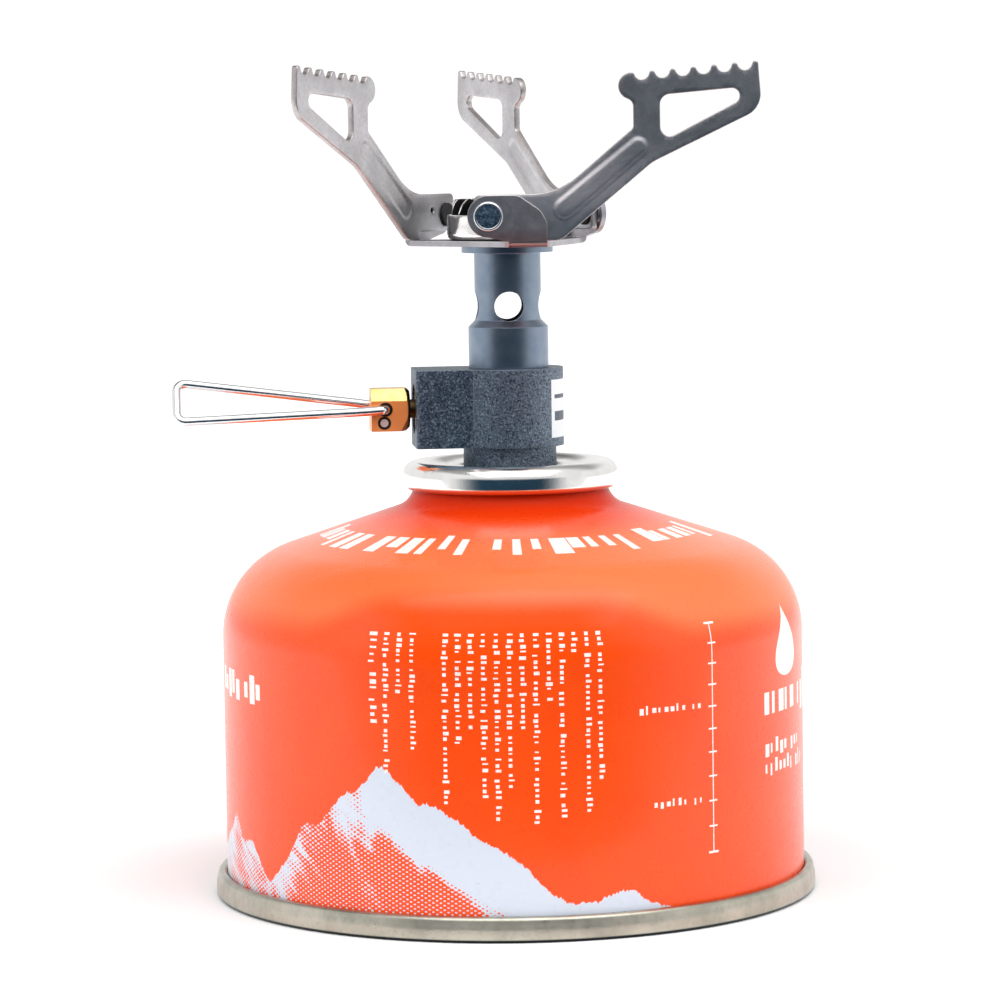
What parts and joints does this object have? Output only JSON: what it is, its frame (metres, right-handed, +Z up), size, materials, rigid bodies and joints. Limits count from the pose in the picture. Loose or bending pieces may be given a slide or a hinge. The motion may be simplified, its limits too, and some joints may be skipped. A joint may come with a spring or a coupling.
{
  "type": "camping stove",
  "caption": "Small folding gas stove screwed on a gas canister: three toothed pot supports fold down, a valve spindle turns, and its wire handle swings.",
  "frame": {"origin": "centre of the canister's bottom rim, on the plane it stands on", "axes": "+Z up along the canister and burner axis; -X along the valve handle; +Y completes the right-handed frame"},
  "size_m": [0.0952, 0.09, 0.1229],
  "materials": {
    "tinplate": "bare tinplate rim with a warm tone, satin",
    "can_paint": "glossy orange-red print",
    "cup_steel": "bright tinned steel",
    "valve_plastic": "natural acetal",
    "rubber": "matt black rubber",
    "steel": "polished stainless steel",
    "blasted_body": "dark grey-blue anodised, bead blasted",
    "anodised_tube": "turned, blue-grey anodised",
    "brass": "machined brass",
    "titanium": "satin titanium sheet, warm grey",
    "dark_sheet": "dark slate grey, satin",
    "crown_steel": "heat-toned steel",
    "rivet_steel": "bright edge, dark blue-grey face",
    "wire": "polished steel wire"
  },
  "bodies": {
    "canister": {"can_base": "tinplate", "can_shell": "can_paint", "valve_cup": "cup_steel", "can_valve_housing": "valve_plastic", "can_valve_gasket": "rubber", "can_valve_spring": "steel"},
    "stem": {"can_valve_stem": "valve_plastic"},
    "seal": {"socket_seal": "rubber"},
    "stove": {"valve_body": "blasted_body", "actuator_pin": "brass", "gas_filter": "brass", "jet": "brass", "gland_nut": "brass", "mixing_tube": "anodised_tube", "base_plate": "titanium", "burner_cup": "steel", "burner_crown": "crown_steel", "burner_cap": "crown_steel", "rivet_front": "rivet_steel", "rivet_left": "rivet_steel", "rivet_rear": "rivet_steel", "washer_front": "steel", "washer_left": "steel", "washer_rear": "steel"},
    "support_front": {"pot_support_front": "dark_sheet"},
    "support_left": {"pot_support_left": "titanium"},
    "support_rear": {"pot_support_rear": "titanium"},
    "spindle": {"spindle": "brass", "spindle_o_ring": "rubber", "knob_block": "brass", "knob_pin": "steel"},
    "handle": {"wire_handle": "wire"}
  },
  "joints": [
    {"name": "stem_press", "type": "slide", "parent": "canister", "child": "stem", "axis": [0, 0, 1], "range_m": [-0.0004, 0], "stiffness_N_per_m": 900, "springref_m": 0.0006, "deforming": ["can_valve_spring"]},
    {"name": "stove_lift", "type": "slide", "parent": "canister", "child": "seal", "axis": [0, 0, 1], "range_m": [0, 0.00454]},
    {"name": "stove_unscrew", "type": "hinge", "parent": "seal", "child": "stove", "pos_m": [0, 0, 0.0625], "axis": [0, 0, 1], "range_deg": [0, 1800]},
    {"name": "fold_front", "type": "hinge", "parent": "stove", "child": "support_front", "pos_m": [-0.00382, -0.01214, 0.1009], "axis": [-0.1149, -0.9934, 0], "range_deg": [0, 210]},
    {"name": "fold_left", "type": "hinge", "parent": "stove", "child": "support_left", "pos_m": [-0.0086, 0.00938, 0.1009], "axis": [-0.8028, 0.5962, 0], "range_deg": [0, 210]},
    {"name": "fold_rear", "type": "hinge", "parent": "stove", "child": "support_rear", "pos_m": [0.01243, 0.00276, 0.1009], "axis": [0.9178, 0.3971, 0], "range_deg": [0, 210]},
    {"name": "spindle_turn", "type": "hinge", "parent": "stove", "child": "spindle", "pos_m": [-0.01, 0, 0.0723], "axis": [-1, 0, 0], "range_deg": [0, 1080]},
    {"name": "handle_fold", "type": "hinge", "parent": "spindle", "child": "handle", "pos_m": [-0.0187, 0, 0.0724], "axis": [0, 1, 0], "range_deg": [-40, 80]}
  ],
  "couplings": [
    {"joint": "stove_lift", "follows": "stove_unscrew", "m_per_rad": 0.00014435},
    {"joint": "fold_left", "follows": "fold_front", "ratio": 1},
    {"joint": "fold_rear", "follows": "fold_front", "ratio": 1}
  ]
}
